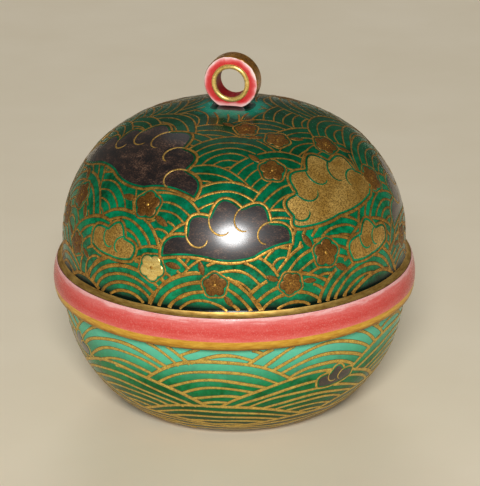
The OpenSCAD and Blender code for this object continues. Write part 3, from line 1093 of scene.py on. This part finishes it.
def scallops(corners):
    """A closed outline through a cloud's corners."""
    points = []
    for (x, y, bulge), (x2, y2, _) in zip(corners, corners[1:] + corners[:1]):
        a, b = np.array([x, y]), np.array([x2, y2])
        chord = b - a
        length = np.linalg.norm(chord)
        out = np.array([chord[1], -chord[0]]) / length
        steps = max(2, int(length * (1 + abs(bulge)) / OUTLINE_STEP))
        for t in np.linspace(0, 1, steps, endpoint=False):
            points.append(a + chord * t + out * 4 * bulge * length * t * (1 - t))
    return np.array(points)


def inset(outline, by):
    """An outline drawn in by a distance, with corners that would cross left out."""
    ahead = np.roll(outline, -1, 0) - np.roll(outline, 1, 0)
    inward = np.stack([-ahead[:, 1], ahead[:, 0]], 1) / np.linalg.norm(ahead, axis=1)[:, None]
    moved = outline + inward * by
    return moved[outside_of(outline, moved) < -0.93 * by]


def scrolls(corners):
    """Strokes that go on from the end of each large scallop and wind in under it."""
    found = []
    for (x, y, bulge), (x2, y2, after) in zip(corners, corners[1:] + corners[:1]):
        if bulge < CURL_BULGE or after < CURL_BULGE:
            continue
        chord = np.array([x2 - x, y2 - y])
        length = np.linalg.norm(chord)
        stride = CURL_LENGTH * length / CURL_STEPS
        heading = math.atan2(chord[1], chord[0]) + math.atan(4 * bulge)
        place, points = np.array([x2, y2]), []
        for share in np.linspace(0, 1, CURL_STEPS):
            points.append(place)
            heading += stride / (length * (FIRST_BEND + (LAST_BEND - FIRST_BEND) * share))
            place = place + stride * np.array([math.cos(heading), math.sin(heading)])
        found.append(np.array(points))
    return found


def paint_cloud(spot, corners, scale, widths, motifs, lines, area, curls):
    """Paints a cloud's outline, its area and the curls over that.

    widths are the outline's, that of the enamel left inside it, and a curl's.
    """
    outline_w, inner_gap, curl_w = widths
    outline = scale * scallops(corners)
    motifs.append(Motif(spot, outline, CLOUD_GAP))
    lines.stroke(spot.spread(outline)[0], outline_w, closed=True)
    area.fill(spot, inset(outline, inner_gap))
    for path in scrolls(corners):
        curls.stroke(spot.spread(scale * path)[0], curl_w, taper=CURL_TAPER)


# Waves: overlapping fans of arcs, set out in rows with a free hand

WAVE_STEP = 0.5
# Lines grow finer from the first height to the second, by that share
FINER_FROM, FINER_TO, FINER = 34.0, 43.0, 0.62
# Smallest arc and shortest stroke
LEAST_ARC_R, LEAST_STROKE = 0.7, 0.9


def paint_waves(brush, fans, motifs, low_z, high_z, arcs, widths, draw, least_crest=0.0):
    """Paints fans in order: each covers those painted before it, and its arcs stop at motifs and borders.

    A fan is its spot, its radius and the gap from arc to arc. widths are the outermost arc's and the
    others'. An arc whose crest stands less than least_crest above the lower border is left out.
    """
    outer_w, line_w = widths
    centres = np.array([spot.point for spot, _, _ in fans])
    radii = np.array([radius for _, radius, _ in fans])
    for i, (spot, radius, arc_gap) in enumerate(fans):
        gap = arc_gap * draw.uniform(0.93, 1.07)
        finer = np.interp(spot.point[2], (FINER_FROM, FINER_TO), (1.0, FINER))
        later = np.linalg.norm(centres[i + 1:] - spot.point, axis=1) < radius + radii[i + 1:]
        covers = list(zip(centres[i + 1:][later], radii[i + 1:][later]))
        for k in range(arcs):
            r = radius - k * gap
            if r < LEAST_ARC_R:
                break
            a = np.linspace(-math.pi, math.pi, max(20, int(2 * math.pi * r / WAVE_STEP)))
            bent = 1 + 0.014 * np.sin(3 * a + draw.uniform(0, 6))
            bent = bent + 0.008 * np.sin(7 * a + draw.uniform(0, 6))
            bent = r * bent + draw.uniform(-0.06, 0.06)
            points, _ = spot.spread(np.stack([bent * np.sin(a), bent * np.cos(a)], 1))
            margin = np.minimum(points[:, 2] - low_z, high_z - points[:, 2])
            for centre, cover in covers:
                margin = np.minimum(margin, np.linalg.norm(points - centre, axis=1) - cover)
            for motif in motifs:
                margin = np.minimum(margin, motif.margin(points))
            for run in visible_runs(points, margin):
                if np.linalg.norm(np.diff(run, axis=0), axis=1).sum() > LEAST_STROKE:
                    width = (line_w if k else outer_w) * finer * draw.uniform(0.9, 1.1)
                    if run[:, 2].max() > low_z + least_crest:
                        brush.stroke(run, width)


# The dome's painting

# The upright wall at the dome's foot is an arc so wide that it is as good as straight
STRAIGHT_R = 2000.0
round_arcs = [(crown_c, CROWN_R, shoulder_turn, 90), (shoulder_c, shoulder_r, 0, shoulder_turn)]
dome_wall = Wall(*round_arcs,
                 ((body_r - STRAIGHT_R, shoulder_z), STRAIGHT_R, -math.degrees(UPRIGHT_H / STRAIGHT_R), 0),
                 (cove_c, -cove_r, 0, ENAMEL_TURN + 180))
# The path that the fans' middles lie on: it goes straight down past the dome's shoulder
fan_path = Wall(*round_arcs)

# Clouds: outline, dark or gilt, degrees round from the front, millimetres down from the crown, lean
DOME_CLOUDS = [
    (LONG_CLOUD, "dark", -58, 22.0, 6),
    (SHORT_CLOUD, "dark", -3, 34.0, 4),
    (ROUND_CLOUD, "gilt", 40, 28.0, 8),
    (PUFF, "gilt", -44, 38.0, -4),
    (PUFF, "gilt", 50, 39.0, 6),
    (LONG_CLOUD, "dark", 172, 25.0, -5),
    (ROUND_CLOUD, "gilt", 130, 35.0, -6),
    (PUFF, "gilt", 214, 36.0, 8),
    (SHORT_CLOUD, "dark", 88, 34.5, 6),
    (PUFF, "gilt", 258, 27.0, -6),
]
DOME_CLOUD_WIDTHS = (0.55, 0.62, 0.42)

dome_lines = Brush(dome_wall, 21)
dome_areas = {"dark": Patches(), "gilt": Patches()}
dome_curls = {"dark": Brush(dome_wall, 22), "gilt": Brush(dome_wall, 23)}
dome_motifs = []
for corners, kind, round_by, run, lean in DOME_CLOUDS:
    spot = Spot(dome_wall, FRONT + math.radians(round_by), run, lean)
    paint_cloud(spot, corners, 1.0, DOME_CLOUD_WIDTHS, dome_motifs,
                dome_lines, dome_areas[kind], dome_curls[kind])

# Plum blossoms, each of five round petals: degrees round from the front, millimetres down, petal size, spin
BLOSSOMS = [
    (-70, 33.0, 1.2, 10), (-63, 41.0, 1.05, 40), (-33, 30.0, 1.2, 25), (-27, 40.5, 1.15, 60),
    (18, 22.5, 1.1, 5), (30, 15.5, 1.05, 33), (66, 29.5, 1.25, 15), (74, 42.0, 1.0, 50),
    (56, 20.0, 1.1, 28), (31, 38.5, 1.2, 8), (18, 42.8, 1.0, 44), (-6, 42.5, 1.05, 20),
    (12, 11.0, 1.0, 12), (154, 36.5, 1.2, 10), (162, 40.0, 1.05, 40), (190, 37.5, 1.25, 22),
    (206, 28.5, 1.1, 5), (232, 30.5, 1.2, 36), (244, 37.0, 1.05, 18), (108, 26.0, 1.2, 48),
    (282, 38.0, 1.1, 30), (140, 15.0, 1.05, 26), (230, 17.0, 1.1, 3),
]
BRIGHT_BLOSSOM = 3
# A blossom of petal size 1: its outline, its petals' middles and half sizes, the dots on them and its heart
BLOSSOM_R, BLOSSOM_WAVE, BLOSSOM_LINE_W, BLOSSOM_GAP = 2.2, 0.06, 0.36, 0.1
PETALS, PETAL_OUT, PETAL_L, PETAL_W, PETAL_T = 5, 1.02, 0.98, 0.92, 0.08
DOT_OUT, DOT_R, HEART_R = 0.62, 0.13, 0.3
# A leaf's distance from the blossom, its half length and width, and the radius that waves keep clear of it
LEAF_OUT, LEAF_L, LEAF_W, LEAF_CLEAR = 3.5, 1.25, 0.5, 0.975
# A leaf needs this much room to the painting that is there
LEAF_ROOM = 1.0

petals, bright_petals, hearts, leaves = Dabs(), Dabs(), Dabs(), Dabs()
draw = np.random.default_rng(31)
ring = turns(50)
for number, (round_by, run, size, spin) in enumerate(BLOSSOMS):
    spot = Spot(dome_wall, FRONT + math.radians(round_by), run)
    lobes = 1 + BLOSSOM_WAVE * np.cos(PETALS * (ring - math.radians(spin)))
    rim = loop(BLOSSOM_R * size * lobes, ring)
    dome_motifs.append(Motif(spot, rim, BLOSSOM_GAP))
    dome_lines.stroke(spot.spread(rim)[0], BLOSSOM_LINE_W, closed=True)
    blossom = bright_petals if number == BRIGHT_BLOSSOM else petals
    for k in range(PETALS):
        heading = spin + 360 / PETALS * k
        width = PETAL_W * size * draw.uniform(0.92, 1.05)
        blossom.dab(spot, PETAL_OUT * size * way(heading), heading, PETAL_L * size, width, PETAL_T)
        hearts.dab(spot, DOT_OUT * size * way(heading), heading, DOT_R, DOT_R, DOT_R)
    hearts.dab(spot, np.zeros(2), 0, HEART_R * size, HEART_R * size, DOT_R)
    for side in (-1, 1):
        heading = spin + 180 / PETALS + side * draw.uniform(70, 110)
        place = LEAF_OUT * size * way(heading)
        leaf_point = spot.spread(place[None])[0]
        if min(motif.margin(leaf_point)[0] for motif in dome_motifs) > LEAF_ROOM:
            leaves.dab(spot, place, heading + draw.uniform(-25, 25), LEAF_L * size, LEAF_W * size, PETAL_T)
            dome_motifs.append(Motif(spot, place + loop(LEAF_CLEAR * size, ring)))

# Waves on the dome: the gap from row to row, the first row's distance from the crown, and the fans' sizes
ROW_GAP, FIRST_ROW, ROWS = 5.3, 3.0, 11
FAN_APART = 14.5
DOME_FAN_R, CROWN_FAN_R = (8.4, 11.8), 9.0
DOME_ARCS, DOME_ARC_GAP = 6, 1.62
DOME_LINE_W = 0.56
DOME_WIDTHS = (DOME_LINE_W * 1.15, DOME_LINE_W)
LEAST_CREST, BORDER_GAP = 0.8, 0.15
# Bare enamel round the knob's foot
KNOB_CLEAR = 5.0

draw = np.random.default_rng(43)
crown_spot = Spot(dome_wall, FRONT, 0.01)
dome_motifs.append(Motif(crown_spot, loop(KNOB_CLEAR, turns(60))))
dome_fans = [(0.0, crown_spot, CROWN_FAN_R, DOME_ARC_GAP)]
for row in range(ROWS):
    run = FIRST_ROW + ROW_GAP * row
    row_r = np.hypot(*fan_path.at(0.0, run)[:2])
    count = max(2, int(round(2 * math.pi * row_r / FAN_APART)))
    for n in range(count):
        place = n + 0.5 * (row % 2) + draw.uniform(-0.22, 0.22)
        turn = FRONT + 2 * math.pi * place / count
        spot = Spot(dome_wall, turn, run + draw.uniform(-1.4, 1.4), path=fan_path)
        dome_fans.append((run + draw.uniform(-3.0, 3.0), spot, draw.uniform(*DOME_FAN_R), DOME_ARC_GAP))
dome_fans = [fan[1:] for fan in sorted(dome_fans, key=lambda fan: fan[0])]
paint_waves(dome_lines, dome_fans, dome_motifs, enamel_z + BORDER_GAP, crown_z - BORDER_GAP,
            DOME_ARCS, DOME_WIDTHS, draw, LEAST_CREST)

# The bowl's painting

bowl_wall = Wall((side_c, side_r, heel_turn, 0), (heel_c, HEEL_R, foot_turn, heel_turn))
# The same side carried on under the bowl, where the lower fans have their middles
wave_wall = Wall((side_c, side_r, -90, 0))

# Puffs of cloud: degrees round from the front, millimetres down from the rim, lean
BOWL_CLOUDS = [(36, 8.6, 6), (-66, 6.4, -8), (118, 7.5, 5), (196, 9.0, -6), (268, 6.8, 4)]
BOWL_CLOUD_SCALE, BOWL_CLOUD_WIDTHS = 0.7, (0.45, 0.5, 0.32)

bowl_lines = Brush(bowl_wall, 24)
bowl_curls = Brush(bowl_wall, 25)
bowl_area = Patches()
bowl_motifs = []
for round_by, run, lean in BOWL_CLOUDS:
    spot = Spot(bowl_wall, FRONT + math.radians(round_by), run, lean)
    paint_cloud(spot, PUFF, BOWL_CLOUD_SCALE, BOWL_CLOUD_WIDTHS, bowl_motifs,
                bowl_lines, bowl_area, bowl_curls)

# Waves on the bowl: rows of broad fans, each row half a fan out of step with the one above
FANS_ROUND, FAN_R, FAN_ROW_GAP = 5, 17.5, 5.0
FIRST_CREST = -1.8
BOWL_FAN_TURN = math.radians(-5)
# The gap from arc to arc narrows between two rows
GAP_ROWS, BOWL_ARC_GAPS = (0, 4), (1.85, 1.3)
BOWL_ARCS, BOWL_WIDTHS = 9, (0.76, 0.66)
BOWL_LOW_Z, BOWL_HIGH_Z = 1.25, side_z - 0.1

lowest_run = 0.5 * math.pi * side_r - 0.5
draw = np.random.default_rng(47)
bowl_fans = []
for row in range(-1, 6):
    arc_gap = np.interp(row, GAP_ROWS, BOWL_ARC_GAPS)
    for n in range(FANS_ROUND):
        place = n + 0.5 * ((row + 1) % 2) + draw.uniform(-0.05, 0.05)
        turn = FRONT + BOWL_FAN_TURN + 2 * math.pi * place / FANS_ROUND
        run = FIRST_CREST + FAN_ROW_GAP * row + FAN_R + draw.uniform(-0.6, 0.6)
        spot = Spot(wave_wall, turn, min(run, lowest_run))
        bowl_fans.append((spot, FAN_R * draw.uniform(0.97, 1.05), arc_gap))
paint_waves(bowl_lines, bowl_fans, bowl_motifs, BOWL_LOW_Z, BOWL_HIGH_Z, BOWL_ARCS, BOWL_WIDTHS, draw)

# The painted pieces, each with its body and slot
petal, leaf = dab_shape("petal", True), dab_shape("leaf", False)
painted = [
    (dome_lines.made("dome_gold_lines", dome_gold, LINE_RISE), "lid", "dark_gold"),
    (dome_curls["dark"].made("dome_cloud_scrolls", cloud_gold, CURL_RISE), "lid", "bright_gold"),
    (dome_curls["gilt"].made("dome_gilt_scrolls", dome_green, CURL_RISE), "lid", "green_enamel"),
    (dome_areas["dark"].made("dome_dark_clouds", cloud_dark), "lid", "pooled_glaze"),
    (dome_areas["gilt"].made("dome_gilt_clouds", cloud_gold), "lid", "bright_gold"),
    (petals.made("dome_blossom_petals", petal, blossom_gold), "lid", "dark_gold"),
    (bright_petals.made("dome_bright_blossom", petal, bright_gold), "lid", "bright_gold"),
    (hearts.made("dome_blossom_hearts", petal, dome_gold), "lid", "bright_gold"),
    (leaves.made("dome_leaves", leaf, blossom_gold), "lid", "dark_gold"),
    (bowl_lines.made("bowl_gold_lines", bowl_gold, LINE_RISE), "bowl", "bright_gold"),
    (bowl_curls.made("bowl_cloud_scrolls", bowl_gold, CURL_RISE), "bowl", "bright_gold"),
    (bowl_area.made("bowl_dark_clouds", cloud_dark), "bowl", "pooled_glaze"),
]
for shape in (petal, leaf):
    bpy.data.objects.remove(shape)
for made, body, slot in painted:
    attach(made, body)


# Floor, light and camera

# The floor's half width in metres, and the world's light
FLOOR_HALF = 4.0
WORLD_TONE, WORLD_STRENGTH = (1.0, 0.94, 0.85, 1.0), 0.1
# Soft lights: degrees round from the camera, elevation, distance, size, watts, and if it leaves a highlight
LIGHTS = [
    ("key_light", -1.0, 31.0, 1200.0, 380.0, 13.3, True),
    ("crown_light", 184.0, 47.0, 1100.0, 560.0, 0.3, True),
    ("back_light", 180.0, 15.0, 1500.0, 700.0, 9.0, False),
]
aim = Vector((0, 0, AIM_Z * MM))


def stage_floor():
    """A plain pale floor, far wider than the box."""
    mesh = bpy.data.meshes.new("floor")
    corners = [(x * FLOOR_HALF, y * FLOOR_HALF, 0) for x, y in ((-1, -1), (1, -1), (1, 1), (-1, 1))]
    mesh.from_pydata(corners, [], [[0, 1, 2, 3]])
    f = Finish("floor_pale", IOR=1.4, Roughness=0.75)
    tone = f.clouded(f.grain(40.0, 3.0), 0.3, 0.7, srgb(237, 224, 197), srgb(242, 230, 205))
    f.put(f.shader.inputs["Base Color"], tone)
    mesh.materials.append(f.material)
    floor = linked("floor", mesh)


def from_box(azimuth, elevation, far):
    """A place far millimetres from the box's middle, in metres."""
    a, e = math.radians(azimuth), math.radians(elevation)
    towards = Vector((math.sin(a) * math.cos(e), -math.cos(a) * math.cos(e), math.sin(e)))
    return aim + towards * far * MM


def soft_light(name, round_by, elevation, far, size, watts, gleam):
    """A round soft light that faces the box. Without gleam it fills shade and leaves no highlight."""
    lamp = bpy.data.lights.new(name, "AREA")
    lamp.shape = "DISK"
    lamp.size = size * MM
    lamp.energy = watts
    made = linked(name, lamp)
    made.location = from_box(CAMERA_AZIMUTH + round_by, elevation, far)
    made.visible_glossy = gleam
    made.rotation_euler = (aim - made.location).to_track_quat("-Z", "Y").to_euler()


stage_floor()
for light in LIGHTS:
    soft_light(*light)

world = bpy.data.worlds.new("studio")
world.use_nodes = True
world.node_tree.nodes["Background"].inputs["Color"].default_value = WORLD_TONE
world.node_tree.nodes["Background"].inputs["Strength"].default_value = WORLD_STRENGTH
bpy.context.scene.world = world

lens = bpy.data.cameras.new("camera")
lens.sensor_fit = "AUTO"
lens.sensor_width = SENSOR_W
lens.lens = FOCAL_PX * SENSOR_W / max(PHOTO_W, PHOTO_H)
lens.clip_start, lens.clip_end = 0.01, 20.0
camera = linked("camera", lens)
back = (from_box(CAMERA_AZIMUTH, CAMERA_ELEVATION, CAMERA_FAR) - aim).normalized()
level = (-back).to_track_quat("-Z", "Y").to_matrix()
rolled = level @ Matrix.Rotation(math.radians(-CAMERA_ROLL), 3, "Z")
middle = aim + (rolled @ Vector((AIM_RIGHT, AIM_UP, 0.0))) * MM
camera.matrix_world = Matrix.Translation(middle + back * CAMERA_FAR * MM) @ rolled.to_4x4()
bpy.context.scene.camera = camera
bpy.context.scene.view_settings.view_transform = "Standard"
